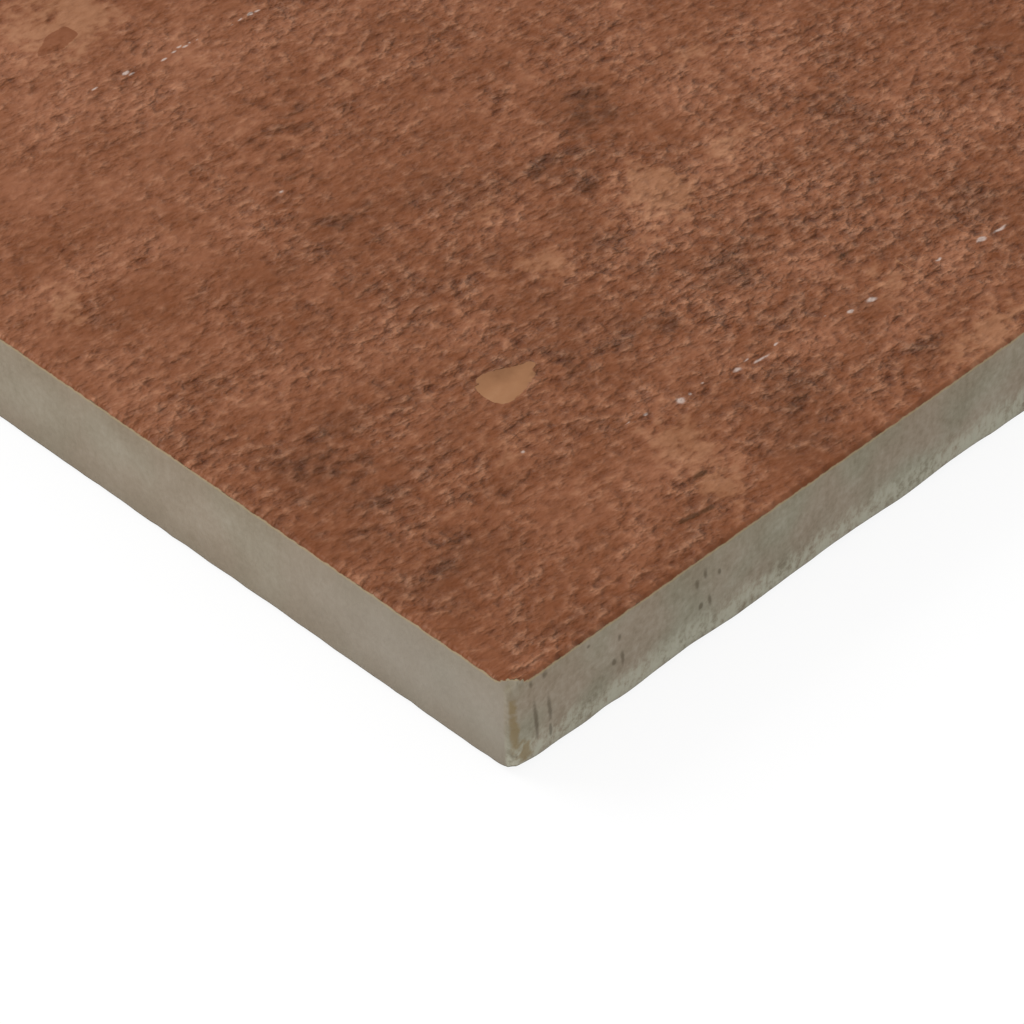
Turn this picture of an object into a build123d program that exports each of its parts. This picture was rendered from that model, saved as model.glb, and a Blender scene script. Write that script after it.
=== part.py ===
from build123d import *
import math
import os

# Square porcelain floor tile, dry pressed and fired as one piece.
#
# The glazed face is up and the keyed back is down. The origin is on the back, under the middle of the
# face. X and Y run along the sides of the face, and Z runs up through the thickness. Sizes are in
# millimetres and angles in degrees.
#
# The press gives the tile its section: a rounded arris round the face, an upright band below it, a lower
# band that leans in towards the back, and a small rounded arris round the back. The lower punch presses a
# grid of shallow pockets into the back, and the ribs between them key the tile to its bed of adhesive.

# Face and edge
FACE_SIDE = 200.0  # each side of the square face, over the upright bands
THICKNESS = 9.0  # from the ribs on the back to the glazed face
CORNER_RADIUS = 0.7  # the upright corners, seen from above
FACE_ARRIS_RADIUS = 0.4  # rounded arris round the glazed face
UPRIGHT_BAND = 4.5  # height of the upright band, measured down from the face
EDGE_LEAN = 3.0  # lean of the lower band, from upright
BACK_ARRIS_RADIUS = 0.5  # rounded arris round the back

# Key pressed into the back
KEY_BORDER = 5.0  # plain border between the edge of the back and the outer pockets
KEY_PITCH = 12.0  # pocket to pocket, before it is evened out to fill the back
KEY_RIB = 2.5  # width of the ribs that are left between the pockets
KEY_DEPTH = 0.7  # depth of the pockets
KEY_DRAFT = 35.0  # lean of a pocket's walls, so that the punch draws out

NODE = "floor_tile"


def back_side():
    """Side of the back: the face less what the lower band leans in on each side."""
    lean_in = (THICKNESS - UPRIGHT_BAND) * math.tan(math.radians(EDGE_LEAN))
    return FACE_SIDE - 2 * lean_in


def pressed_blank():
    """The slab before its back is keyed: an upright band over one that leans in, both arrises rounded."""
    outline = Pos(Z=THICKNESS - UPRIGHT_BAND) * RectangleRounded(FACE_SIDE, FACE_SIDE, CORNER_RADIUS)
    back = RectangleRounded(back_side(), back_side(), CORNER_RADIUS)
    slab = extrude(outline, amount=UPRIGHT_BAND) + loft([back, outline], ruled=True)
    slab = fillet(slab.faces().sort_by(Axis.Z)[-1].edges(), FACE_ARRIS_RADIUS)
    return fillet(slab.faces().sort_by(Axis.Z)[0].edges(), BACK_ARRIS_RADIUS)


def key_grid():
    """How many pockets lie along a side of the back, and the even pitch that fills it between its borders."""
    filled = back_side() - 2 * KEY_BORDER + KEY_RIB
    count = max(1, round(filled / KEY_PITCH))
    return count, filled / count


def key_pockets():
    """The pockets in the back, each with a mouth of one pitch less one rib and walls that draw in."""
    count, pitch = key_grid()
    mouth = pitch - KEY_RIB
    pocket = extrude(Rectangle(mouth, mouth), amount=KEY_DEPTH, taper=KEY_DRAFT)
    return [place * pocket for place in GridLocations(pitch, pitch, count, count)]


def main():
    tile = pressed_blank() - key_pockets()
    os.makedirs("parts", exist_ok=True)
    export_step(tile, f"parts/{NODE}.step")
    count, pitch = key_grid()
    print(f"{NODE}: {tile.volume / 1000:.1f} cm3, {count} x {count} pockets at {pitch:.2f} mm")


main()
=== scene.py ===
import math

import bpy
import numpy as np
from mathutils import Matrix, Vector


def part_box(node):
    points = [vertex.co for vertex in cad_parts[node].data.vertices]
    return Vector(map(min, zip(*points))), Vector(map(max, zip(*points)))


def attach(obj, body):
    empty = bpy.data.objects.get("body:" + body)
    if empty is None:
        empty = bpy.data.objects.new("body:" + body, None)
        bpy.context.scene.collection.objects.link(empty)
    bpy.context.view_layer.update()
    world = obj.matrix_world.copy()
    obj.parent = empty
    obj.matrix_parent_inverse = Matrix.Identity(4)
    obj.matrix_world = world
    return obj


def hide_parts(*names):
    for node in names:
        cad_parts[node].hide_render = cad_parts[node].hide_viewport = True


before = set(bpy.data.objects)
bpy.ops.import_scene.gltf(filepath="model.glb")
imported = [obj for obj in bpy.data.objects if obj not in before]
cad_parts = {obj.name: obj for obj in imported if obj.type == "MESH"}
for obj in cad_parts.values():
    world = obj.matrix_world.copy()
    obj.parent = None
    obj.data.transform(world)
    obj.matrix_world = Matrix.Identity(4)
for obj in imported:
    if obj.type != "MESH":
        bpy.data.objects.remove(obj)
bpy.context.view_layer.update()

LOW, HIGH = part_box("floor_tile")
MM = 0.001

# The tile's section, in millimetres, as the solid has it
HALF = (HIGH[0] - LOW[0]) / 2 / MM
THICKNESS = (HIGH[2] - LOW[2]) / MM
CORNER_RADIUS = 0.7
FACE_ARRIS = 0.4
UPRIGHT_BAND = 4.5
EDGE_LEAN = math.radians(3.0)
BACK_ARRIS = 0.5
KEY_BORDER = 5.0
KEY_PITCH = 12.0
KEY_RIB = 2.5
KEY_DEPTH = 0.7
KEY_DRAFT = math.radians(35.0)
KEY_WALL = KEY_DEPTH * math.tan(KEY_DRAFT)

# Mesh
FACE_CELLS = 264  # across the face
FINE_CELLS = 6  # of those, the smaller ones along each side
FINE_BAND = 2.4  # width that the smaller cells take, in millimetres
WAY_ROUND = 4.0  # length of a ring, in sides
EDGE_STEPS = 6  # lines down each part of the edge, with both its ends
ROUND_STEPS = 5  # and round the arris of the back
BACK_STRIP = 1.0  # strip that joins the fine edge to the coarse back, in millimetres

# The bake's map: the face, the back beside it, and the four sides in strips above them
FACE_MAP = ((0.004, 0.004), (0.862, 0.862))  # low corner and size
BACK_MAP = ((0.872, 0.004), (0.124, 0.862))
SIDE_MAP_START = 0.872
SIDE_MAP_STEP = 0.032
SIDE_MAP_SIZE = 0.028

# The lay of the glaze: its grain and chalk lines run almost along +X
LAY = math.radians(-3.5)
GRAIN_STRETCH = 1.45  # length of a grain over its width

# Marks on the glaze, in millimetres from the near corner along +X and +Y.
# Clouds and pale patches: place, half length, half width, turn in degrees from +X, strength.
DARK_CLOUDS = [
    (48.4, 40.0, 7.2, 2.8, 37, 1.0),
    (41.2, 38.0, 2.0, 1.5, 22, 0.9),
    (42.7, 33.9, 1.4, 0.9, 44, 1.3),
    (63.3, 28.4, 5.8, 2.1, -32, 0.8),
    (64.0, 12.2, 4.7, 2.4, -26, 0.5),
    (77.7, 23.5, 4.8, 3.8, 38, 0.6),
    (7.3, 20.1, 7.2, 4.9, -78, 0.5),
    (5.1, 13.1, 2.9, 2.8, 53, 0.6),
    (8.2, 26.0, 3.9, 2.5, -7, 0.6),
    (27.0, 20.8, 3.8, 2.6, 40, 0.9),
    (35.0, 19.0, 3.5, 1.7, -24, 0.9),
    (35.8, 6.2, 4.3, 2.8, 5, 0.8),
    (47.2, 4.4, 3.3, 1.8, -9, 0.8),
    (23.9, 34.2, 4.4, 3.1, -46, 0.4),
    (31.0, 54.5, 5.9, 4.0, 46, 0.8),
    (26.4, 45.2, 5.2, 3.4, -46, 0.5),
    (47.4, 20.1, 9.5, 1.4, -4, 0.45),
    (25.6, 27.7, 2.0, 1.8, 45, 0.6),
    (40.1, 27.4, 3.2, 1.5, -12, 0.5),
    (45.9, 46.3, 2.4, 2.3, 45, 0.5),
    (47.5, 54.8, 4.6, 2.9, -45, 0.4),
    (56.8, 18.7, 4.1, 1.9, -12, 0.4),
    (15.8, 42.3, 4.4, 2.7, -46, 0.3),
]
PALE_PATCHES = [
    (28.4, 76.6, 5.1, 4.5, 14, 1.0),
    (24.6, 72.5, 2.8, 1.5, -8, 0.7),
    (46.2, 30.0, 3.0, 2.4, -83, 1.35),
    (53.9, 29.8, 2.9, 2.0, 3, 0.6),
    (33.6, 30.4, 4.1, 2.3, -45, 0.6),
    (26.9, 9.4, 3.0, 2.3, 64, 0.9),
    (25.4, 4.6, 3.0, 2.2, 76, 0.9),
    (19.3, 10.3, 1.9, 1.6, 43, 0.6),
    (51.4, 1.7, 4.1, 2.0, 3, 0.9),
    (50.3, 10.7, 3.5, 2.5, 8, 0.6),
    (5.8, 50.9, 2.5, 1.9, 51, 0.7),
    (35.6, 37.6, 2.3, 1.8, 45, 0.5),
    (42.8, 29.6, 4.5, 3.0, -45, 0.4),
    (59.6, 40.0, 3.5, 1.5, -5, 0.6),
    (39.0, 56.5, 2.6, 2.0, 47, 0.4),
    (17.4, 17.5, 3.2, 2.3, 1, 0.3),
]
# Leaf-shaped marks, round at one end and pointed at the other: place, half length, half width, and the way
# that the point looks, in degrees from +X
PALE_LEAVES = [(22.92, 22.95, 2.62, 1.55, 2)]
RED_LEAVES = [(25.85, 74.85, 2.1, 0.85, 188)]
# Chalky specks, and dark gashes that are painted shade in small pits: place, half length along the lay, half
# width
CHALK_SPECKS = [
    (27.2, 13.3, 0.20, 0.14),
    (30.0, 12.7, 0.36, 0.26),
    (31.1, 12.6, 0.20, 0.15),
    (35.4, 12.0, 0.30, 0.20),
    (37.5, 11.6, 0.75, 0.12),
    (46.0, 10.5, 0.28, 0.14),
    (48.0, 10.3, 0.50, 0.20),
    (58.7, 9.2, 0.34, 0.20),
    (60.4, 9.0, 0.55, 0.14),
    (24.2, 68.7, 0.26, 0.08),
    (27.6, 68.0, 0.28, 0.10),
    (30.4, 67.5, 0.22, 0.09),
    (31.6, 67.6, 0.24, 0.08),
    (32.7, 67.5, 0.28, 0.08),
    (39.4, 66.7, 0.24, 0.10),
    (25.9, 50.0, 0.22, 0.14),
    (18.1, 16.8, 0.18, 0.14),
]
GASHES = [(25.3, 6.1, 1.1, 0.24), (21.5, 3.5, 1.0, 0.22), (22.9, 3.2, 0.8, 0.20), (50.3, 15.2, 0.6, 0.22)]
# Rows of lesser chalky specks: start, length, turn in degrees from +X
CHALK_ROWS = [(25.2, 13.7, 36.4, -7.4), (23.7, 68.8, 16.0, -7.4)]
CHALK_SPREAD = 0.9  # how far from its row a speck can lie
# Broad soft tones, given as the clouds are: more than 0 is lighter
BROAD_TONES = [
    (21.0, 69.0, 13.0, 13.0, 0, 0.43),
    (14.0, 40.0, 14.0, 9.0, 0, 0.10),
    (5.0, 14.0, 5.0, 10.0, 0, -0.20),
    (50.0, 28.0, 9.0, 7.0, 0, 0.06),
    (19.0, 9.0, 6.0, 5.0, 0, 0.20),
    (52.0, 8.0, 6.0, 5.0, 0, 0.20),
    (49.6, 52.7, 3.5, 3.0, 0, -0.16),
    (56.5, 45.7, 3.5, 3.0, 0, -0.18),
    (43.0, 48.6, 3.5, 3.0, 0, 0.22),
    (59.0, 32.2, 6.0, 3.5, -45, -0.18),
    (55.8, 24.9, 3.0, 3.0, 0, 0.11),
    (12.7, 63.4, 3.5, 4.0, 0, 0.22),
    (26.4, 78.2, 4.0, 4.0, 0, 0.12),
    (35.2, 45.7, 3.0, 3.0, 0, 0.13),
    (3.0, 47.2, 3.0, 2.2, -45, 0.26),
    (10.3, 39.9, 2.2, 2.2, 0, 0.26),
    (46.6, 3.4, 3.0, 3.0, 0, -0.20),
    (22.6, 17.6, 7.0, 3.0, -45, -0.10),
    (22.3, 8.2, 5.0, 3.0, -45, 0.24),
    (1.1, 10.6, 3.0, 4.0, 0, -0.14),
    (65.6, 15.5, 3.5, 3.0, 0, -0.13),
    (23.5, 26.6, 2.5, 2.5, 0, -0.13),
    (16.8, 13.7, 2.5, 2.5, 0, 0.12),
    (29.9, 1.0, 2.5, 2.0, 0, 0.12),
]
# Zones where the grain is coarser, or finer where the strength is less than 0, given in the same way
COARSE_ZONES = [
    (14.0, 58.0, 20.0, 22.0, 0, -0.26),
    (5.0, 14.0, 4.0, 6.0, 0, 0.25),
    (58.0, 20.0, 18.0, 14.0, 0, 0.30),
    (38.0, 12.0, 10.0, 8.0, 0, 0.35),
]
COARSE_LIMITS = (0.25, 1.35)  # least and most coarseness
SHADE_LIMIT = 1.6  # most that clouds which overlap come to
# The marks that the glaze reads at the mesh's points
GLAZE_MARKS = ("tone", "coarse", "cloud", "pale", "leaf_along", "leaf_across", "red", "chalk")

# Like marks are scattered over the rest of the face. Half sizes and strengths are given as least and most
MARKED_ACROSS = 58.0  # the marks above cover this far either side of the diagonal
MARKED_ALONG = 112.0  # and this far out from the corner, both sides added
SCATTERED_CLOUDS = 190
SCATTERED_PATCHES = 130
SCATTERED_LEAVES = 7
SCATTERED_ROWS = 12
CLOUD_SIZES = ((1.5, 7.5), (1.2, 4.0))
PATCH_SIZES = ((1.8, 5.0), (1.5, 3.0))
LEAF_SIZES = ((2.0, 4.0), (0.8, 1.4))
ROW_SIZES = ((10.0, 36.0), (1, 1))  # a row's length; its width isn't used
MARK_STRENGTHS = (0.3, 1.0)
FULL_STRENGTH = (1, 1)
SCATTER_TURN = 50.0  # most turn from +X, in degrees
SCATTER_SEED = 5

# Cells of the slow noise, in millimetres
LATTICE_SIZE = 256  # random values along a side, before the noise repeats
SWELL_CELLS = (19.0, 8.0)
FLAKE_CELLS = (2.6, 1.6)
DRIFT_CELLS = (16.0, 7.0)
MOTTLE_CELLS = (3.2, 1.7)
COARSE_CELLS = (11.0, 3.8)
WANDER_CELL = 6.5
CHIP_CELLS = (2.2, 1.1)
TOOTH_CELL = 1.3

# Relief of the face, in millimetres
RELIEF_DROP = 0.075  # its middle lies this far below the flat plane
SWELL_HEIGHT = 0.02
FLAKE_HEIGHT = 0.045
FLAKE_STRETCH = 1.8  # length of a flake over its width
RIM_BAND = 1.5  # width along the rim over which the relief rises to its full height
RIM_RELIEF = 0.4  # share of its height that it has at the rim

# Dark pressing strokes on the front, in millimetres: along from the near corner to where the stroke would
# meet the bed, height, half width, half height
FRONT_STROKES = [
    (2.94, 4.3, 0.20, 1.9),
    (4.33, 4.4, 0.20, 1.4),
    (4.26, 2.3, 0.15, 0.7),
    (4.16, 8.25, 0.30, 0.40),
    (2.82, 8.2, 0.22, 0.35),
    (11.69, 4.5, 0.17, 0.75),
    (10.80, 4.6, 0.20, 0.3),
    (11.60, 6.7, 0.17, 0.3),
    (8.55, 7.9, 0.18, 0.2),
    (20.38, 6.9, 0.20, 0.5),
    (19.52, 6.4, 0.21, 0.5),
    (20.59, 4.1, 0.17, 0.6),
    (19.64, 4.1, 0.19, 0.3),
    (21.79, 6.2, 0.16, 0.3),
]
# Ochre stains by the near corner, given in the same way
CORNER_STAINS = [(0.95, 4.4, 0.40, 3.6), (1.55, 1.7, 0.75, 0.9)]
STROKE_LEAN = 0.12  # how far a stroke leans along the front for each millimetre down

RELIEF_DEPTH = 0.11  # depth of the grain's fine relief, in millimetres
FIRED_SHEEN = 0.16  # specular level of the glaze and the body
# Painted highlight: colour added to the grain's raised lumps, partly their own paler glaze, as if their tops
# catch the light
LUMP_HIGHLIGHT = (0.158, 0.088, 0.054, 1.0)  # what the grain's lumps add to the colour under them

# Patterns of the glaze, in features to a millimetre across the lay
PIT_SCALE = 1.6
LUMP_SCALE = 1.25
BLOT_SCALE = 0.6
ROW_SPECK_SCALE = 1.5
# Patterns of the body, in features to a metre
BODY_CLOUD_SCALE = 210.0
BODY_TINT_SCALE = 130.0
BODY_GRAIN_SCALE = 1900.0
SCUFF_SCALE = 1500.0
SCUFF_RISE = 0.38  # a scuff is as wide as this share of its height
FLECK_SCALE = 2400.0
GLAZE_LINE_SCALE = 900.0

# Colours as they look on a screen. A ramp has its dark, middle and light
GROUND_RAMP = ((78, 40, 12), (122, 69, 38), (170, 113, 83))
PALE_RAMP = ((112, 72, 43), (159, 112, 77), (186, 142, 106))
WARM_BODY_RAMP = ((128, 113, 93), (155, 141, 123), (175, 163, 147))
COOL_BODY_RAMP = ((122, 113, 93), (149, 143, 124), (171, 165, 148))
# Painted shade in the glaze's pits, partly the glaze's own darker colour there
PIT_SHADE_BROWN = (88, 44, 22)
# Painted shade in small pits of the glaze, partly its own darker colour
GASH_SHADE_BROWN = (84, 50, 24)
CHALK_WHITE = (204, 186, 176)
CORNER_GREY = (151, 146, 137)
# Painted shade near the top of the edge, with an ochre tint
UPPER_SHADE_OCHRE = (128, 107, 80)
FLECK_PALE = (188, 184, 165)
SCUFF_PALE = (186, 184, 166)
# Painted shade low on the sides other than the front
LOWER_SHADE_BROWN = (132, 118, 100)
STAIN_OCHRE = (138, 118, 82)
STROKE_BROWN = (84, 72, 54)
# Painted shade along the bed
BED_SHADE_BROWN = (86, 80, 66)
THIN_GLAZE_TAN = (172, 150, 112)

# Where a colour of the edge comes in, from none to full, in millimetres above the bed
UPPER_SHADE_BAND = (5.5, 9.0)
FOOT_BAND = (4.4, 0.8)
SCUFF_BAND = (5.2, 1.2)
LOWER_SHADE_BAND = (4.0, 0.8)
BED_SHADE_BAND = (0.50, 0.28)
BACK_BAND = (-0.35, -0.05)  # the points of the back have a level below this
# The same, in millimetres in from the front
CORNER_GREY_BAND = (30.0, 8.0)
BODY_FRONT_BAND = (1.0, 0.6)
STROKE_FRONT_BAND = (0.5, 0.3)

# How far the lower edge stands up from the bed along the front, in millimetres from the near corner
FRONT_LIFT = [
    (0.0, 0.50),
    (0.9, 0.36),
    (2.4, 0.12),
    (7.2, 0.05),
    (9.5, 0.22),
    (12.2, 0.05),
    (18.0, 0.35),
    (22.4, 0.05),
    (29.0, 0.25),
    (36.0, 0.38),
    (40.7, 0.05),
    (46.0, 0.36),
    (54.3, 0.02),
    (62.0, 0.28),
]
FRONT_CHIPS = 0.06  # height of the small chips along the front
FAR_LIFT = (0.2, 0.18)  # lift of the front past the places above, and how far it wanders
FAR_BLEND = 6.0  # length over which the front goes over to it
SIDE_LIFT = 0.14  # lift of the other three sides
SIDE_WANDER = (0.10, 0.16, 0.05)  # how far each of them wanders, from the +X side round
SIDE_TEETH = 0.07  # height of the small teeth along them
LIFT_REACH = 2.6  # how far up the edge the lift reaches
CORNER_LIFT = 0.36  # more lift at the near corner on its left, and how far it reaches
CORNER_REACH = 1.0
GLAZE_DROP = 0.27  # how far down its arris the glaze reaches
GLAZE_BLUR = 0.05  # half the height over which it ends
THIN_GLAZE_DROPS = (0.24, 0.08)  # a thin coat comes in between these drops below its end
CORNER_WEAR = 1.15  # the near corner's glaze is worn back to here, both sides added
CORNER_BLEND = 0.5  # over this much of that, the wear falls to none
CORNER_DROP = 0.35  # how much lower the worn corner lies

# Camera, from the photograph
CAMERA_TURN = math.radians(44.76)
CAMERA_ELEVATION = math.radians(42.70)
CAMERA_DISTANCE = 0.565
CAMERA_LENS = 278.0
CAMERA_AIM = (12.92, 12.82)  # on the face, in millimetres from the near corner
SENSOR_WIDTH = 36.0

# Studio, in metres
FLOOR_REACH = 4.0  # from the middle of the floor to its sides
FLOOR_LINES = 9  # grid lines each way
FLOOR_LEVEL = -0.00002
FLOOR_PAINT = (0.82, 0.82, 0.82, 1.0)
FLOOR_GLOW = 1.05  # strength of the plain white that the camera sees
FLOOR_GLOW_SHARE = 0.85  # the rest of what it sees is the paint with the tile's shadow
WHITE = (1.0, 1.0, 1.0, 1.0)
SURROUND_LIGHT = 0.72
SOFTBOX_SIZE = 0.9
SOFTBOX_POWER = 17.0
SOFTBOX_PLACE = (-0.65, 1.25, 1.05)


# Numbers over the surface


def smooth(t):
    """Smooth step from 0 to 1."""
    t = np.clip(t, 0.0, 1.0)
    return t * t * (3.0 - 2.0 * t)


def lattice_noise(x, y, cell, seed):
    """Noise from -1 to 1: random values on a square lattice of this cell, joined by smooth steps."""
    table = np.random.default_rng(seed).uniform(-1.0, 1.0, (LATTICE_SIZE, LATTICE_SIZE))
    column, row = np.floor(x / cell).astype(int), np.floor(y / cell).astype(int)
    across, along = smooth(x / cell - column), smooth(y / cell - row)
    left, right = column % LATTICE_SIZE, (column + 1) % LATTICE_SIZE
    near, far = row % LATTICE_SIZE, (row + 1) % LATTICE_SIZE
    low = table[left, near] * (1 - across) + table[right, near] * across
    high = table[left, far] * (1 - across) + table[right, far] * across
    return low * (1 - along) + high * along


def turned(x, y, angle):
    """Coordinates along and across a direction at this angle from +X."""
    return x * np.cos(angle) + y * np.sin(angle), y * np.cos(angle) - x * np.sin(angle)


def ellipse_distance(x, y, place, half_length, half_width, turn):
    """Distance from an ellipse's middle, as a share of the way to its rim."""
    along, across = turned(x - place[0], y - place[1], math.radians(turn))
    return np.hypot(along / half_length, across / half_width)


def bell(x, y, mark):
    """A soft mark: its strength at its middle, falling as a bell curve over its half sizes."""
    return mark[5] * np.exp(-ellipse_distance(x, y, mark[:2], *mark[2:5]) ** 2)


# The tile's mesh


def grid_lines():
    """Lines across the face from -1 to 1: even in the middle, closer over a band along each side."""
    inner = 1.0 - FINE_BAND / (HALF - FACE_ARRIS)
    middle = np.linspace(-inner, inner, FACE_CELLS - 2 * FINE_CELLS + 1)
    rim = np.linspace(inner, 1.0, FINE_CELLS + 1)[1:]
    return np.concatenate([-rim[::-1], middle, rim])


def round_corner(along, half, radius):
    """A side of a square with round corners: how far along and how far out it is at each place along it.

    Straight up to the corner's start; past it the rest of the side is spread evenly over half the corner's
    arc.
    """
    radius = np.maximum(radius, 1e-6)
    straight = half - radius
    arc = np.maximum(np.abs(along) - straight, 0.0) / radius * (math.pi / 4)
    on_arc = np.abs(along) > straight
    reach = np.where(on_arc, np.sign(along) * (straight + radius * np.sin(arc)), along)
    return reach, np.where(on_arc, straight + radius * np.cos(arc), half)


def square_ring(lines, half, radius):
    """Points round a square with round corners, from the near corner along +X first."""
    along, out = round_corner(lines[:-1] * half, half, radius)
    sides = [(along, -out), (out, along), (-along, out), (-out, -along)]
    return np.concatenate([np.stack(side, -1) for side in sides])


def face_plan(lines, half, radius):
    """Grid over the face: plain squares, with the rings near the rim rounded at the corners."""
    across, up = np.meshgrid(lines * half, lines * half)
    ring = np.maximum(np.abs(across), np.abs(up))
    rounding = np.maximum(radius - (half - ring), 0.0)
    beside = np.abs(across) >= np.abs(up)
    reach, out = round_corner(np.where(beside, up, across), ring, rounding)
    x = np.where(beside, np.sign(across) * out, reach)
    y = np.where(beside, reach, np.sign(up) * out)
    return x, y


def face_relief(x, y):
    """Height of the glaze over its flat plane: slow swells and flat flakes laid along +X, never above it."""
    swell = lattice_noise(x, y, SWELL_CELLS[0], 11) + 0.5 * lattice_noise(x, y, SWELL_CELLS[1], 12)
    drawn = x / FLAKE_STRETCH
    flakes = lattice_noise(drawn, y, FLAKE_CELLS[0], 13) + 0.7 * lattice_noise(drawn, y, FLAKE_CELLS[1], 14)
    return -RELIEF_DROP + SWELL_HEIGHT * swell + FLAKE_HEIGHT * np.clip(flakes, -1.0, 0.6)


def corner_wear(x, y):
    """1 where the near corner is worn to the body, falling to 0 over a short blend."""
    return smooth((CORNER_WEAR + CORNER_BLEND / 2 - (x + y + 2 * HALF)) / CORNER_BLEND)


def edge_profile():
    """Section of the edge from the rim of the face to the back: how far in from the side, and how high.

    A quarter circle round the face, an upright band, a band that leans in, and a rounding to the back.
    """
    arris = np.linspace(0.0, math.pi / 2, EDGE_STEPS)[1:]
    lean_top = THICKNESS - UPRIGHT_BAND
    upright = np.linspace(THICKNESS - FACE_ARRIS, lean_top, EDGE_STEPS)[1:]
    turn = np.linspace(EDGE_LEAN, math.pi / 2, ROUND_STEPS)
    round_start = BACK_ARRIS * (1 - math.sin(EDGE_LEAN))
    lean = np.linspace(lean_top, round_start, EDGE_STEPS)[1:-1]
    round_in = (lean_top - round_start) * math.tan(EDGE_LEAN)
    inset = [
        FACE_ARRIS * (1 - np.sin(arris)),
        np.zeros_like(upright),
        (lean_top - lean) * math.tan(EDGE_LEAN),
        round_in + BACK_ARRIS * (math.cos(EDGE_LEAN) - np.cos(turn)),
    ]
    height = [
        THICKNESS - FACE_ARRIS * (1 - np.cos(arris)),
        upright,
        lean,
        BACK_ARRIS * (1 - np.sin(turn)),
    ]
    return np.concatenate(inset), np.concatenate(height)


def ring_radius(level, inset):
    """Radius of the upright corners at a level: the same on both bands, less by the inset of each arris."""
    lean_in = max(0.0, THICKNESS - UPRIGHT_BAND - level) * math.tan(EDGE_LEAN)
    return CORNER_RADIUS - max(0.0, inset - lean_in)


def edge_lift(lines):
    """How far the lower edge stands up from the bed, round the tile, from uneven pressing.

    The front joins its listed places with straight runs and adds small chips. The other sides are noise.
    """
    along = (lines[:-1] + 1.0) * HALF
    places, lifts = np.array(FRONT_LIFT).T
    front = np.interp(along, places, lifts)
    zero = np.zeros_like(along)
    beyond = smooth((along - places[-1]) / FAR_BLEND)
    wander = FAR_LIFT[0] + FAR_LIFT[1] * lattice_noise(along, zero, WANDER_CELL, 21)
    chips = lattice_noise(along, zero, CHIP_CELLS[0], 31)
    chips = chips + 0.5 * lattice_noise(along, zero, CHIP_CELLS[1], 35)
    sides = [front * (1 - beyond) + wander * beyond + FRONT_CHIPS * chips]
    for side, size in enumerate(SIDE_WANDER, start=1):
        slow = lattice_noise(along, zero, WANDER_CELL, 21 + side)
        teeth = lattice_noise(along, zero, TOOTH_CELL, 31 + side)
        sides.append(SIDE_LIFT + size * slow + SIDE_TEETH * teeth)
    sides[-1] += CORNER_LIFT * np.exp(-((2 * HALF - along) / CORNER_REACH) ** 2)
    return np.clip(np.concatenate(sides), 0.0, None)


def back_lines():
    """Lines across the back: the border, then each pocket's mouth and floor."""
    rim = HALF - (THICKNESS - UPRIGHT_BAND) * math.tan(EDGE_LEAN)
    filled = 2 * (rim - KEY_BORDER) + KEY_RIB
    count = round(filled / KEY_PITCH)
    pitch = filled / count
    middles = (np.arange(count) - (count - 1) / 2) * pitch
    mouth = (pitch - KEY_RIB) / 2
    steps = np.array([-mouth, -mouth + KEY_WALL, mouth - KEY_WALL, mouth])
    inside = (middles[:, None] + steps).ravel()
    is_floor = np.tile([False, True, True, False], count)
    edge = rim - BACK_ARRIS - BACK_STRIP
    lines = np.concatenate([[-edge], inside, [edge]])
    return lines, np.concatenate([[False], is_floor, [False]])


def rim_of_grid(columns):
    """Numbers of a square grid's outer points, from the near corner along +X first."""
    last = columns - 1
    step = np.arange(last)
    return np.concatenate([
        step,
        step * columns + last,
        last * columns + last - step,
        (last - step) * columns,
    ])


def grid_quads(columns, start=0):
    """Quads of a square grid of points, turned to face +Z."""
    row, column = np.meshgrid(np.arange(columns - 1), np.arange(columns - 1), indexing="ij")
    corner = (start + row * columns + column).ravel()
    return np.stack([corner, corner + 1, corner + columns + 1, corner + columns], -1)


def zip_rings(outer, outer_at, inner, inner_at):
    """Triangles facing down between two rings, each point joined to the nearest one across the strip."""
    count = len(outer)
    middle = outer_at + 0.5 * (np.append(outer_at[1:], outer_at[0] + WAY_ROUND) - outer_at)
    spans = np.concatenate([inner_at, inner_at[:1] + WAY_ROUND])
    nearest = np.searchsorted(0.5 * (spans[1:] + spans[:-1]), middle)
    follow = np.append(nearest[1:], nearest[0] + len(inner))
    next_outer = np.roll(outer, -1)
    wide = np.stack([next_outer, outer, inner[nearest % len(inner)]], -1)
    steps = follow - nearest
    owner = np.repeat(np.arange(count), steps)
    first = nearest[owner] + np.arange(steps.sum()) - np.repeat(np.cumsum(steps) - steps, steps)
    narrow = np.stack([inner[first % len(inner)], inner[(first + 1) % len(inner)], next_outer[owner]], -1)
    return np.concatenate([wide, narrow])


def ring_places(lines):
    """Place of each point round a ring, one unit a side."""
    side = (lines[:-1] + 1.0) / 2.0
    return np.concatenate([side + k for k in range(4)])


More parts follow.
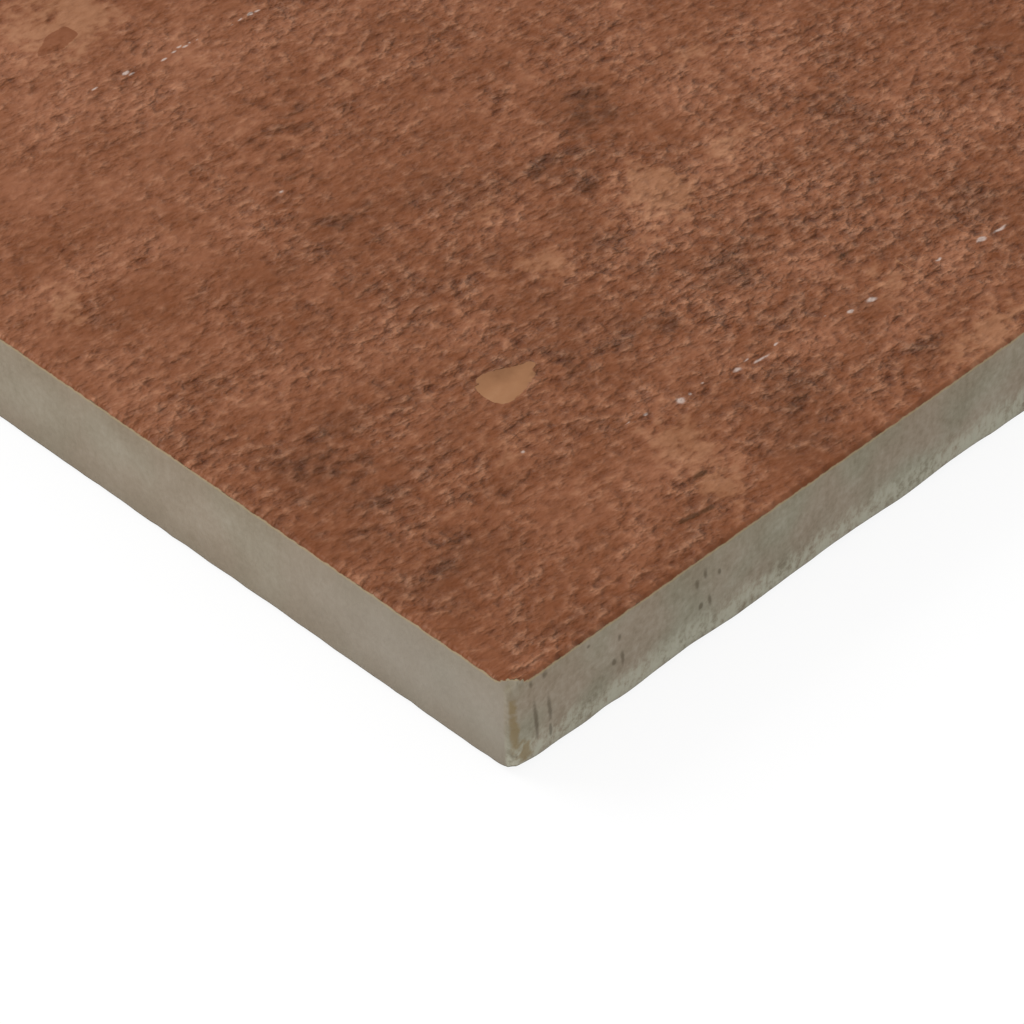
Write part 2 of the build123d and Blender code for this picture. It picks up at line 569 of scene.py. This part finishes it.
def tile_mesh():
    """The whole skin of the tile: face grid, edge rings and keyed back, joined with no seams.

    Gives its points, quads, triangles, the level of each point on the plain section (-1 on the back) and the
    place of each corner of each face on the bake's map.
    """
    lines = grid_lines()
    columns = len(lines)
    x, y = face_plan(lines, HALF - FACE_ARRIS, CORNER_RADIUS - FACE_ARRIS)
    rim = rim_of_grid(columns)
    fade = smooth((HALF - FACE_ARRIS - np.maximum(np.abs(x), np.abs(y))) / RIM_BAND)
    relief = face_relief(x, y) * (RIM_RELIEF + (1 - RIM_RELIEF) * fade)
    z = THICKNESS + relief - CORNER_DROP * corner_wear(x, y)
    face = np.stack([x, y, z], -1).reshape(-1, 3)

    inset, height = edge_profile()
    lift = edge_lift(lines)
    rings = []
    for step_in, level in zip(inset, height):
        ring = square_ring(lines, HALF - step_in, ring_radius(level, step_in))
        raised = level + lift * (1 - smooth(level / LIFT_REACH))
        top_quarter = smooth(level / THICKNESS * 4 - 3)
        raised = raised - CORNER_DROP * corner_wear(*ring.T) * top_quarter
        rings.append(np.column_stack([ring, raised]))
    around = len(rim)
    ring_points = np.concatenate(rings)
    ring_numbers = len(face) + np.arange(len(ring_points)).reshape(len(rings), around)
    ring_numbers = np.vstack([rim, ring_numbers])

    key, is_floor = back_lines()
    kx, ky = np.meshgrid(key, key)
    depth = KEY_DEPTH * np.outer(is_floor, is_floor)
    back = np.stack([kx, ky, depth], -1).reshape(-1, 3)
    back_start = len(face) + len(ring_points)
    back_rim = back_start + rim_of_grid(len(key))

    upper, lower = ring_numbers[:-1], ring_numbers[1:]
    wall = np.stack([lower, np.roll(lower, -1, 1), np.roll(upper, -1, 1), upper], -1).reshape(-1, 4)
    strip = zip_rings(
        ring_numbers[-1], ring_places(lines), back_rim, ring_places(key / key[-1])
    )
    points = np.concatenate([face, ring_points, back])
    face_quads, back_quads = grid_quads(columns), grid_quads(len(key), back_start)[:, ::-1]
    levels = np.concatenate([
        np.full(len(face), THICKNESS), np.repeat(height, around), np.full(len(back), -1.0),
    ])
    places = np.concatenate([
        flat_map(points, face_quads, FACE_MAP),
        wall_map(inset, height, around),
        flat_map(points, back_quads, BACK_MAP),
        flat_map(points, strip, BACK_MAP),
    ])
    return points * MM, np.concatenate([face_quads, wall, back_quads]), strip, levels, places


def flat_map(points, faces, area):
    """Places on the map for faces seen straight on, fitted to an area of it: low corner, size."""
    share = (points[faces.ravel(), :2] + HALF) / (2 * HALF)
    return np.array(area[0]) + share * np.array(area[1])


def wall_map(inset, height, around):
    """Places on the map for the edge: one strip for each side, as long as the face and stacked above it."""
    inset, height = np.append(FACE_ARRIS, inset), np.append(THICKNESS, height)
    down = np.append(0.0, np.cumsum(np.hypot(np.diff(inset), np.diff(height))))
    side_length = around // 4
    step = np.arange(around)
    side = step // side_length
    start, finish = step / side_length - side, (step + 1) / side_length - side
    row = np.arange(len(height) - 1)[:, None]
    upper, lower = 1 - down[row] / down[-1], 1 - down[row + 1] / down[-1]
    corners = [(start, lower), (finish, lower), (finish, upper), (start, upper)]
    u = np.stack([np.broadcast_to(c[0], (len(row), around)) for c in corners], -1)
    v = np.stack([np.broadcast_to(c[1], (len(row), around)) for c in corners], -1)
    u = FACE_MAP[0][0] + u * FACE_MAP[1][0]
    v = SIDE_MAP_START + side[None, :, None] * SIDE_MAP_STEP + v * SIDE_MAP_SIZE
    return np.stack([u, v], -1).reshape(-1, 2)


def mesh_from(name, points, quads, triangles):
    """A mesh from arrays of points, quads and triangles."""
    mesh = bpy.data.meshes.new(name)
    mesh.vertices.add(len(points))
    mesh.vertices.foreach_set("co", points.ravel().astype(np.float32))
    corners = np.concatenate([quads.ravel(), triangles.ravel()])
    mesh.loops.add(len(corners))
    mesh.loops.foreach_set("vertex_index", corners.astype(np.int32))
    starts = np.concatenate([
        np.arange(len(quads)) * 4,
        len(quads) * 4 + np.arange(len(triangles)) * 3,
    ])
    mesh.polygons.add(len(starts))
    mesh.polygons.foreach_set("loop_start", starts.astype(np.int32))
    mesh.update(calc_edges=True)
    mesh.validate()
    mesh.shade_smooth()
    return mesh


# Marks on the glaze, as values at the mesh's points


def scattered(rng, count, sizes, strengths):
    """Marks like the listed ones over the rest of the face, given in the same way."""
    found = []
    while len(found) < count:
        place = rng.uniform(0.0, 2 * HALF, 2)
        long_half, short_half = rng.uniform(*sizes[0]), rng.uniform(*sizes[1])
        turn, strength = rng.uniform(-SCATTER_TURN, SCATTER_TURN), rng.uniform(*strengths)
        if abs(place[0] - place[1]) > MARKED_ACROSS or place.sum() > MARKED_ALONG:
            found.append((place[0], place[1], long_half, short_half, turn, strength))
    return found


def glaze_marks(points):
    """Tone, coarseness, clouds, pale patches, leaves, chalk and wear at each point of the mesh.

    Tone is the broad tones, slow drift and a mottle that follows the coarseness, less the clouds. A leaf is
    given as the place along it, from -1 to 1, and across it, in half widths, at the points nearest to it.
    """
    x, y = points[:, 0] / MM + HALF, points[:, 1] / MM + HALF
    rng = np.random.default_rng(SCATTER_SEED)
    clouds = DARK_CLOUDS + scattered(rng, SCATTERED_CLOUDS, CLOUD_SIZES, MARK_STRENGTHS)
    patches = PALE_PATCHES + scattered(rng, SCATTERED_PATCHES, PATCH_SIZES, MARK_STRENGTHS)
    leaves = RED_LEAVES + PALE_LEAVES + scattered(rng, SCATTERED_LEAVES, LEAF_SIZES, FULL_STRENGTH)
    rows = scattered(rng, SCATTERED_ROWS, ROW_SIZES, FULL_STRENGTH)
    rows = CHALK_ROWS + [(*row[:3], math.degrees(LAY)) for row in rows]

    swells = sum(bell(x, y, mark) for mark in BROAD_TONES)
    drift = lattice_noise(x, y, DRIFT_CELLS[0], 41) + 0.6 * lattice_noise(x, y, DRIFT_CELLS[1], 42)
    along, across = turned(x, y, LAY)
    mottle = lattice_noise(along / GRAIN_STRETCH, across, MOTTLE_CELLS[0], 44)
    mottle = mottle + 0.8 * lattice_noise(along / GRAIN_STRETCH, across, MOTTLE_CELLS[1], 45)
    shade = np.clip(sum(bell(x, y, mark) for mark in clouds), 0.0, SHADE_LIMIT)
    coarse = 0.76 + 0.24 * lattice_noise(x, y, COARSE_CELLS[0], 43)
    coarse = coarse + 0.28 * lattice_noise(along, across, COARSE_CELLS[1], 46)
    coarse = np.clip(coarse + sum(bell(x, y, mark) for mark in COARSE_ZONES), *COARSE_LIMITS)
    tone = swells + 0.12 * drift + 0.28 * mottle * coarse - 0.15 * shade - 0.03
    pale = np.max([bell(x, y, mark) for mark in patches], axis=0) + 0.15 * mottle
    nearest = np.argmin([np.hypot(x - m[0], y - m[1]) for m in leaves], axis=0)
    leaf_x, leaf_y, leaf_length, leaf_width, leaf_turn = np.array([m[:5] for m in leaves])[nearest].T
    leaf_along, leaf_across = turned(x - leaf_x, y - leaf_y, np.radians(leaf_turn))
    chalk = np.zeros_like(x)
    for start_x, start_y, length, turn in rows:
        along, across = turned(x - start_x, y - start_y, math.radians(turn))
        beside = np.hypot(across, np.maximum(0.0, np.maximum(-along, along - length)))
        chalk = np.maximum(chalk, 1.0 - beside / CHALK_SPREAD)
    return {
        "tone": tone,
        "coarse": coarse,
        "cloud": shade,
        "pale": pale,
        "leaf_along": leaf_along / leaf_length,
        "leaf_across": leaf_across / leaf_width,
        "red": (nearest < len(RED_LEAVES)).astype(float),
        "chalk": chalk,
        "worn": corner_wear(x - HALF, y - HALF),
    }


# Shader nodes


def add(tree, kind, inputs=None, **settings):
    """Adds a node, with its settings and its inputs linked or set by name or number."""
    node = tree.nodes.new(kind)
    for name, value in settings.items():
        setattr(node, name, value)
    for name, value in (inputs or {}).items():
        if isinstance(value, bpy.types.NodeSocket):
            tree.links.new(value, node.inputs[name])
        else:
            node.inputs[name].default_value = value
    return node


def srgb(red, green, blue):
    """A colour given as it looks on a screen, 0 to 255, as a linear RGBA."""
    def linear(value):
        value /= 255.0
        return value / 12.92 if value <= 0.04045 else ((value + 0.055) / 1.055) ** 2.4

    return linear(red), linear(green), linear(blue), 1.0


def maths(tree, operation, first, second=0.0):
    """One sum on values."""
    return add(tree, "ShaderNodeMath", {0: first, 1: second}, operation=operation).outputs[0]


def step_between(tree, value, low, high):
    """Smooth step from 0 at low to 1 at high."""
    return add(tree, "ShaderNodeMapRange", {
        "Value": value, "From Min": low, "From Max": high,
    }, interpolation_type="SMOOTHSTEP").outputs[0]


def mixed(tree, share, first, second):
    """Two colours mixed by a share."""
    node = add(tree, "ShaderNodeMix", {0: share, 6: first, 7: second}, data_type="RGBA")
    return node.outputs[2]


def above(tree, value, limit):
    """How far a value is above a limit, or 0 where it is below."""
    return maths(tree, "MAXIMUM", maths(tree, "SUBTRACT", value, limit), 0.0)


def from_front(tree, across, band):
    """Smooth step from a band's first place to its second, both in millimetres in from the front."""
    return step_between(tree, across, (band[0] - HALF) * MM, (band[1] - HALF) * MM)


def lightened(tree, share, colour, more):
    """A colour with a share of another one added to it."""
    node = add(tree, "ShaderNodeMix", {0: share, 6: colour, 7: more}, data_type="RGBA", blend_type="ADD")
    return node.outputs[2]


def between(tree, share, first, second):
    """Two values mixed by a share."""
    return add(tree, "ShaderNodeMix", {0: share, 2: first, 3: second}).outputs[0]


def times(tree, *values):
    """Product of values."""
    product = values[0]
    for value in values[1:]:
        product = maths(tree, "MULTIPLY", product, value)
    return product


def ramp(tree, tone, colours):
    """A colour from a tone: the first at -1, the second at 0 and the third at 1."""
    share = add(tree, "ShaderNodeMapRange", {"Value": tone, "From Min": -1.0, "From Max": 1.0}).outputs[0]
    node = add(tree, "ShaderNodeValToRGB", {0: share})
    node.color_ramp.elements.new(0.5)
    for element, colour in zip(node.color_ramp.elements, colours):
        element.color = srgb(*colour)
    return node.outputs[0]


def noise(tree, place, scale, detail=2.0, roughness=0.5, dimensions="3D"):
    """Noise about 0, roughly -1 to 1."""
    node = add(tree, "ShaderNodeTexNoise", {
        "Vector": place, "Scale": scale, "Detail": detail, "Roughness": roughness,
    }, noise_dimensions=dimensions)
    return add(tree, "ShaderNodeMapRange", {
        "Value": node.outputs["Fac"], "From Min": 0.25, "From Max": 0.75, "To Min": -1.0, "To Max": 1.0,
    }, clamp=False).outputs[0]


def cells(tree, place, scale):
    """Flat cells: distance from each cell's middle, and three random values for each cell."""
    node = add(tree, "ShaderNodeTexVoronoi", {"Vector": place, "Scale": scale}, voronoi_dimensions="2D")
    return node.outputs["Distance"], add(tree, "ShaderNodeSeparateColor", {0: node.outputs["Color"]}).outputs


def weighted(tree, *terms):
    """Sum of values times their weights, given in pairs."""
    total = None
    for value, weight in terms:
        part = maths(tree, "MULTIPLY", value, weight)
        total = part if total is None else maths(tree, "ADD", total, part)
    return total


def new_group(name, inputs, outputs):
    """An empty shader node group with these sockets, and its two ends."""
    group = bpy.data.node_groups.new(name, "ShaderNodeTree")
    kinds = {"value": "NodeSocketFloat", "colour": "NodeSocketColor", "place": "NodeSocketVector"}
    for socket, kind in inputs:
        group.interface.new_socket(socket, in_out="INPUT", socket_type=kinds[kind])
    for socket, kind in outputs:
        group.interface.new_socket(socket, in_out="OUTPUT", socket_type=kinds[kind])
    return group, group.nodes.new("NodeGroupInput").outputs, group.nodes.new("NodeGroupOutput").inputs


def leaf_mask(tree, along, across, ragged):
    """1 inside a leaf: its half width grows as a low power from its blunt end and falls away to its point."""
    blunt = maths(tree, "POWER", above(tree, along, -1.0), 0.3)
    point = maths(tree, "POWER", maths(tree, "MAXIMUM", maths(tree, "SUBTRACT", 1.0, along), 0.0), 0.75)
    beyond = above(tree, maths(tree, "ABSOLUTE", along), 1.0)
    depth = maths(tree, "SUBTRACT", times(tree, blunt, point), maths(tree, "ABSOLUTE", across))
    return step_between(tree, weighted(tree, (depth, 1.0), (beyond, -4.0), (ragged, 0.16)), -0.05, 0.08)


def on_lay(marks):
    """Marks given along +X and +Y, with their places along and across the lay instead."""
    return [(*turned(x, y, LAY), half_length, half_width) for x, y, half_length, half_width in marks]


def ellipse_marks(tree, place, ragged, marks):
    """A list of small marks: 1 inside their ellipses, with ragged rims, 0 elsewhere.

    Each mark's distance is the length of the way from its middle, each part over that half size, and the
    least counts.
    """
    nearest = 9.0  # well outside every rim
    for first, second, half_first, half_second in marks:
        spread = (1 / half_first, 1 / half_second, 0.0)
        middle = (-first / half_first, -second / half_second, 0.0)
        way = add(tree, "ShaderNodeVectorMath", {0: place, 1: spread, 2: middle}, operation="MULTIPLY_ADD")
        reach = add(tree, "ShaderNodeVectorMath", {0: way.outputs[0]}, operation="LENGTH").outputs["Value"]
        nearest = maths(tree, "MINIMUM", reach, nearest)
    return step_between(tree, maths(tree, "ADD", nearest, ragged), 1.5, 0.3)


def glaze_group():
    """The flaky terracotta glaze: colour, roughness and height from its place and the marks at it.

    Two noises laid along the grain give its lumps and pits. A third, slower one breaks up the clouds and
    patches and makes the grain come in bursts. Height is the lumps less the pits, times the coarseness.
    """
    tree, given, result = new_group(
        "flaky_glaze",
        [("Place", "place")] + [(name, "value") for name in GLAZE_MARKS],
        [("Colour", "colour"), ("Roughness", "value"), ("Height", "value")],
    )
    lay = add(tree, "ShaderNodeMapping", {
        "Vector": given["Place"], "Location": (-HALF * MM, -HALF * MM, 0.0), "Rotation": (0.0, 0.0, LAY),
        "Scale": (MM, MM, MM),
    }, vector_type="TEXTURE").outputs[0]
    laid = add(tree, "ShaderNodeMapping", {"Vector": lay, "Scale": (1 / GRAIN_STRETCH, 1.0, 1.0)}).outputs[0]
    pits = noise(tree, laid, PIT_SCALE, 1.7, 0.5, "2D")
    lumps = noise(tree, laid, LUMP_SCALE, 2.0, 0.5, "2D")
    blots = noise(tree, laid, BLOT_SCALE, 3.0, 0.6, "2D")

    cloud = step_between(tree, weighted(tree, (given["cloud"], 1.0), (blots, 0.7)), 0.40, 1.25)
    patch = step_between(tree, weighted(tree, (given["pale"], 1.0), (blots, -0.30), (lumps, 0.2)), 0.25, 0.85)
    leaf = leaf_mask(tree, given["leaf_along"], given["leaf_across"], pits)
    red = times(tree, leaf, given["red"])
    pale_leaf = maths(tree, "SUBTRACT", leaf, red)
    bare = maths(tree, "MAXIMUM", times(tree, patch, 0.35), pale_leaf)
    bare = times(tree, bare, maths(tree, "SUBTRACT", 1.0, red))

    smoothed = weighted(tree, (patch, 0.5), (pale_leaf, 0.95), (red, 0.3))
    coarse = maths(tree, "MAXIMUM", maths(tree, "SUBTRACT", 1.0, smoothed), 0.03)
    burst = maths(tree, "MAXIMUM", maths(tree, "ADD", times(tree, blots, 0.6), 1.0), 0.25)
    coarse = times(tree, coarse, given["coarse"], burst)
    # Painted shade: the pits, the hollows of the relief, are darkened in colour, partly the glaze's own
    # darker colour there
    pit_shade = times(tree, above(tree, pits, -0.3), coarse)
    # Painted highlight on the raised lumps, partly their paler glaze colour, and a stronger painted highlight
    # on their crests
    lump = times(tree, above(tree, lumps, -0.9), coarse)
    crest_highlight = times(tree, above(tree, lumps, 0.25), coarse, 0.66)

    far, chance = cells(tree, laid, ROW_SPECK_SCALE)
    chalky = step_between(tree, weighted(tree, (given["chalk"], 1.0), (chance[0], 0.5)), 1.1, 1.2)
    row_speck = weighted(tree, (chance[1], 0.30), (lumps, 0.12), (far, -1.0))
    row_speck = times(tree, step_between(tree, row_speck, -0.14, 0.06), chalky)
    speck = ellipse_marks(tree, lay, times(tree, pits, 0.55), on_lay(CHALK_SPECKS))
    speck = maths(tree, "MAXIMUM", speck, row_speck)
    # The gashes: painted shade in small pits of the glaze, partly its own darker colour
    gash_shade = ellipse_marks(tree, lay, times(tree, pits, 0.5), on_lay(GASHES))

    tone = weighted(tree, (given["tone"], 1.0), (cloud, -0.48), (patch, 0.22), (blots, -0.16), (red, -0.38))
    colour = mixed(tree, bare, ramp(tree, tone, GROUND_RAMP), ramp(tree, tone, PALE_RAMP))
    # The painted shade in the pits
    colour = mixed(tree, times(tree, pit_shade, 0.42), colour, srgb(*PIT_SHADE_BROWN))
    # The painted highlight, less of it in the clouds
    lump_highlight = maths(tree, "ADD", times(tree, lump, between(tree, cloud, 0.34, 0.19)), crest_highlight)
    colour = lightened(tree, lump_highlight, colour, LUMP_HIGHLIGHT)
    colour = mixed(tree, times(tree, gash_shade, 0.9), colour, srgb(*GASH_SHADE_BROWN))
    colour = mixed(tree, times(tree, speck, 0.70), colour, srgb(*CHALK_WHITE))
    tree.links.new(colour, result["Colour"])

    rough = weighted(tree, (lump, -0.05), (bare, 0.06))
    tree.links.new(maths(tree, "ADD", rough, 0.55), result["Roughness"])
    tree.links.new(times(tree, maths(tree, "SUBTRACT", lumps, pits), coarse), result["Height"])
    return tree


def body_group():
    """The bare porcelain body of the edges and back: colour, roughness and height from its place and level.

    Its tone is clouds and grain. The front is also rubbed, with pale flecks at its foot and scuffs that are
    drawn upwards, and the other sides have a browner painted shade below.
    """
    tree, given, result = new_group(
        "pressed_body",
        [("Place", "place"), ("Level", "value")],
        [("Colour", "colour"), ("Roughness", "value"), ("Height", "value")],
    )
    place, level = given["Place"], given["Level"]
    cloud = noise(tree, place, BODY_CLOUD_SCALE, 3.0, 0.6)
    tint = noise(tree, place, BODY_TINT_SCALE, 1.0)
    grain = noise(tree, place, BODY_GRAIN_SCALE, 2.0, 0.6)
    drawn = add(tree, "ShaderNodeMapping", {"Vector": place, "Scale": (1.0, 1.0, SCUFF_RISE)}).outputs[0]
    scuffs = noise(tree, drawn, SCUFF_SCALE, 2.0, 0.6)
    flecks = noise(tree, place, FLECK_SCALE, 3.0, 0.7)
    across = add(tree, "ShaderNodeSeparateXYZ", {0: place}).outputs[1]
    front = from_front(tree, across, BODY_FRONT_BAND)
    aside = maths(tree, "SUBTRACT", 1.0, front)
    foot = times(tree, step_between(tree, level, *FOOT_BAND), front)
    lower = step_between(tree, level, *SCUFF_BAND)

    rubbed = times(tree, weighted(tree, (scuffs, 0.20), (grain, 0.22), (cloud, 0.20)), front)
    tone = weighted(tree, (cloud, 0.36), (grain, 0.24), (rubbed, 1.0), (times(tree, flecks, foot), 0.22))
    cool = times(tree, step_between(tree, tint, -0.5, 0.5), between(tree, front, 0.35, 1.0))
    colour = mixed(tree, cool, ramp(tree, tone, WARM_BODY_RAMP), ramp(tree, tone, COOL_BODY_RAMP))
    greyed = times(tree, from_front(tree, across, CORNER_GREY_BAND), aside, 0.4)
    colour = mixed(tree, greyed, colour, srgb(*CORNER_GREY))
    # Painted shade: the top of the edge is darkened against the light from above, with an ochre tint
    upper = times(tree, step_between(tree, level, *UPPER_SHADE_BAND), 0.22)
    colour = mixed(tree, upper, colour, srgb(*UPPER_SHADE_OCHRE))
    flecked = weighted(tree, (cloud, 0.35), (flecks, 0.6), (scuffs, 0.45), (foot, 0.5))
    flecked = times(tree, step_between(tree, flecked, -0.3, 0.85), foot, 0.9)
    colour = mixed(tree, flecked, colour, srgb(*FLECK_PALE))
    scuffed = weighted(tree, (scuffs, 0.8), (cloud, 0.7), (lower, 0.8))
    scuffed = times(tree, step_between(tree, scuffed, 0.65, 1.6), lower, front, 0.6)
    colour = mixed(tree, scuffed, colour, srgb(*SCUFF_PALE))
    # Painted shade low on the other sides, where the leaning edge faces down from the light: darker and
    # browner towards the bed
    lower_shade = times(tree, step_between(tree, level, *LOWER_SHADE_BAND), aside, 0.35)
    colour = mixed(tree, lower_shade, colour, srgb(*LOWER_SHADE_BROWN))
    tree.links.new(colour, result["Colour"])

    tree.links.new(maths(tree, "ADD", times(tree, grain, 0.05), 0.78), result["Roughness"])
    drawn_height = times(tree, scuffs, lower, front)
    tree.links.new(weighted(tree, (grain, 0.10), (drawn_height, 0.22)), result["Height"])
    return tree


def glaze_on(tree, place):
    """The glaze group placed in a material, reading the marks at the mesh's points."""
    glaze = add(tree, "ShaderNodeGroup", node_tree=bpy.data.node_groups["flaky_glaze"])
    tree.links.new(place, glaze.inputs["Place"])
    for name in GLAZE_MARKS:
        mark = add(tree, "ShaderNodeAttribute", attribute_name=name)
        tree.links.new(mark.outputs["Fac"], glaze.inputs[name])
    return glaze.outputs


def fired_surface(tree, colour, rough, relief):
    """The shader of the fired tile, with a fine relief on its normal."""
    bump = add(tree, "ShaderNodeBump", {"Height": relief, "Strength": 1.0, "Distance": RELIEF_DEPTH * MM})
    shader = add(tree, "ShaderNodeBsdfPrincipled", {
        "Base Color": colour, "Roughness": rough, "Normal": bump.outputs[0],
        "Specular IOR Level": FIRED_SHEEN,
    })
    output = add(tree, "ShaderNodeOutputMaterial")
    tree.links.new(shader.outputs[0], output.inputs["Surface"])


def new_material(name):
    """A new material and its node tree, with no nodes in it yet."""
    material = bpy.data.materials.new(name)
    material.use_nodes = True
    material.node_tree.nodes.clear()
    return material, material.node_tree


def face_material():
    """The glazed face."""
    material, tree = new_material("glazed_face")
    place = add(tree, "ShaderNodeTexCoord").outputs["Object"]
    glaze = glaze_on(tree, place)
    fired_surface(tree, glaze["Colour"], glaze["Roughness"], glaze["Height"])
    return material


def edge_material():
    """The rim, edges and back: glaze over the arris, and bare body below an uneven line."""
    material, tree = new_material("glazed_edge_and_body")
    place = add(tree, "ShaderNodeTexCoord").outputs["Object"]
    glaze = glaze_on(tree, place)
    level = add(tree, "ShaderNodeAttribute", attribute_name="level").outputs["Fac"]
    worn = add(tree, "ShaderNodeAttribute", attribute_name="worn").outputs["Fac"]
    body = add(tree, "ShaderNodeGroup", node_tree=body_group())
    tree.links.new(place, body.inputs["Place"])
    tree.links.new(level, body.inputs["Level"])

    ragged = noise(tree, place, GLAZE_LINE_SCALE, 3.0, 0.6)
    x, y, z = add(tree, "ShaderNodeSeparateXYZ", {0: place}).outputs
    up = maths(tree, "DIVIDE", z, MM)
    along = weighted(tree, (x, 1 / MM), (up, STROKE_LEAN))
    on_front = add(tree, "ShaderNodeCombineXYZ", {0: maths(tree, "ADD", along, HALF), 1: up}).outputs[0]
    front = from_front(tree, y, STROKE_FRONT_BAND)
    stain = times(tree, ellipse_marks(tree, on_front, ragged, CORNER_STAINS), front, 0.75)
    edge = mixed(tree, stain, body.outputs["Colour"], srgb(*STAIN_OCHRE))
    dark = ellipse_marks(tree, on_front, times(tree, ragged, 0.5), FRONT_STROKES)
    edge = mixed(tree, times(tree, dark, front, 0.62), edge, srgb(*STROKE_BROWN))
    # Painted shade: a dark line along the bed, on the lower rounding that faces away from the light
    bed_shade = times(tree, step_between(tree, level, *BED_SHADE_BAND), step_between(tree, level, *BACK_BAND))
    edge = mixed(tree, times(tree, bed_shade, 0.65), edge, srgb(*BED_SHADE_BROWN))

    line = weighted(tree, (level, 1.0), (ragged, 0.08), (worn, -1.5))
    glaze_end = THICKNESS - GLAZE_DROP
    glazed = step_between(tree, line, glaze_end - GLAZE_BLUR, glaze_end + GLAZE_BLUR)
    thin = step_between(tree, line, *(glaze_end - drop for drop in THIN_GLAZE_DROPS))
    edge = mixed(tree, times(tree, thin, 0.6), edge, srgb(*THIN_GLAZE_TAN))
    colour = mixed(tree, glazed, edge, glaze["Colour"])
    rough = between(tree, glazed, body.outputs["Roughness"], glaze["Roughness"])
    relief = between(tree, glazed, body.outputs["Height"], glaze["Height"])
    fired_surface(tree, colour, rough, relief)
    return material


def face_places(mesh):
    """How far out from the middle of the tile and how high the middle of each face of the mesh is."""
    middles = np.empty(3 * len(mesh.polygons), np.float32)
    mesh.polygons.foreach_get("center", middles)
    x, y, z = middles.reshape(-1, 3).T / MM
    return np.maximum(np.abs(x), np.abs(y)), z


def tile():
    """The tile in place of its plain solid: smooth, but for the back's pockets, which keep their edges."""
    points, quads, strip, levels, places = tile_mesh()
    mesh = mesh_from("pressed_tile", points, quads, strip)
    marks = glaze_marks(points)
    marks["level"] = levels
    for name, values in marks.items():
        attribute = mesh.attributes.new(name, "FLOAT", "POINT")
        attribute.data.foreach_set("value", values.astype(np.float32))
    mesh.uv_layers.new(name="OFBake").data.foreach_set("uv", places.ravel().astype(np.float32))
    glaze_group()
    mesh.materials.append(face_material())
    mesh.materials.append(edge_material())
    out, high = face_places(mesh)
    glazed = (high > THICKNESS / 2) & (out < HALF - FACE_ARRIS - FINE_BAND)
    keyed = (high < THICKNESS / 2) & (out < HALF - KEY_BORDER)
    mesh.polygons.foreach_set("material_index", np.where(glazed, 0, 1).astype(np.int32))
    mesh.polygons.foreach_set("use_smooth", ~keyed)
    piece = bpy.data.objects.new("pressed_tile", mesh)
    bpy.context.collection.objects.link(piece)
    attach(piece, "root")
    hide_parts("floor_tile")


# Floor, light and camera


def floor():
    """A wide white floor that keeps the tile's soft shadow."""
    lines = np.linspace(-FLOOR_REACH, FLOOR_REACH, FLOOR_LINES)
    x, y = np.meshgrid(lines, lines)
    points = np.stack([x, y, np.full_like(x, FLOOR_LEVEL)], -1).reshape(-1, 3)
    mesh = mesh_from("studio_floor", points, grid_quads(FLOOR_LINES), np.zeros((0, 3), int))
    material, tree = new_material("studio_white")
    rays = add(tree, "ShaderNodeLightPath")
    seen = maths(tree, "MAXIMUM", rays.outputs["Is Camera Ray"], rays.outputs["Is Glossy Ray"])
    seen = maths(tree, "MAXIMUM", seen, rays.outputs["Is Transmission Ray"])
    paint = add(tree, "ShaderNodeBsdfDiffuse", {"Color": FLOOR_PAINT})
    glow = add(tree, "ShaderNodeEmission", {"Strength": FLOOR_GLOW})
    blend = add(tree, "ShaderNodeMixShader", {0: times(tree, seen, FLOOR_GLOW_SHARE)})
    tree.links.new(paint.outputs[0], blend.inputs[1])
    tree.links.new(glow.outputs[0], blend.inputs[2])
    output = add(tree, "ShaderNodeOutputMaterial")
    tree.links.new(blend.outputs[0], output.inputs["Surface"])
    mesh.materials.append(material)
    stage = bpy.data.objects.new("studio_floor", mesh)
    bpy.context.collection.objects.link(stage)


def studio_light():
    """Even white surroundings and one large soft lamp from the left."""
    world = bpy.data.worlds.new("studio")
    bpy.context.scene.world = world
    world.use_nodes = True
    tree = world.node_tree
    tree.nodes.clear()
    rays = add(tree, "ShaderNodeLightPath")
    around = add(tree, "ShaderNodeBackground", {"Color": WHITE, "Strength": SURROUND_LIGHT})
    white = add(tree, "ShaderNodeBackground", {"Color": WHITE, "Strength": 1.0})
    blend = add(tree, "ShaderNodeMixShader", {0: rays.outputs["Is Camera Ray"]})
    tree.links.new(around.outputs[0], blend.inputs[1])
    tree.links.new(white.outputs[0], blend.inputs[2])
    output = add(tree, "ShaderNodeOutputWorld")
    tree.links.new(blend.outputs[0], output.inputs["Surface"])

    lamp = bpy.data.lights.new("softbox", "AREA")
    lamp.shape = "SQUARE"
    lamp.size = SOFTBOX_SIZE
    lamp.energy = SOFTBOX_POWER
    softbox = bpy.data.objects.new("softbox", lamp)
    softbox.location = SOFTBOX_PLACE
    softbox.rotation_euler = (-softbox.location).to_track_quat("-Z", "Y").to_euler()
    softbox.visible_camera = False
    bpy.context.collection.objects.link(softbox)


def camera():
    """The photograph's view: down on the near corner, with a long lens."""
    aim = Vector(((CAMERA_AIM[0] - HALF) * MM, (CAMERA_AIM[1] - HALF) * MM, THICKNESS * MM))
    look = Vector((
        math.cos(CAMERA_ELEVATION) * math.cos(CAMERA_TURN),
        math.cos(CAMERA_ELEVATION) * math.sin(CAMERA_TURN),
        -math.sin(CAMERA_ELEVATION),
    ))
    data = bpy.data.cameras.new("camera")
    data.lens = CAMERA_LENS
    data.sensor_width = SENSOR_WIDTH
    view = bpy.data.objects.new("camera", data)
    view.location = aim - look * CAMERA_DISTANCE
    view.rotation_euler = look.to_track_quat("-Z", "Y").to_euler()
    bpy.context.collection.objects.link(view)
    bpy.context.scene.camera = view


tile()
floor()
studio_light()
camera()
bpy.context.scene.view_settings.view_transform = "Standard"
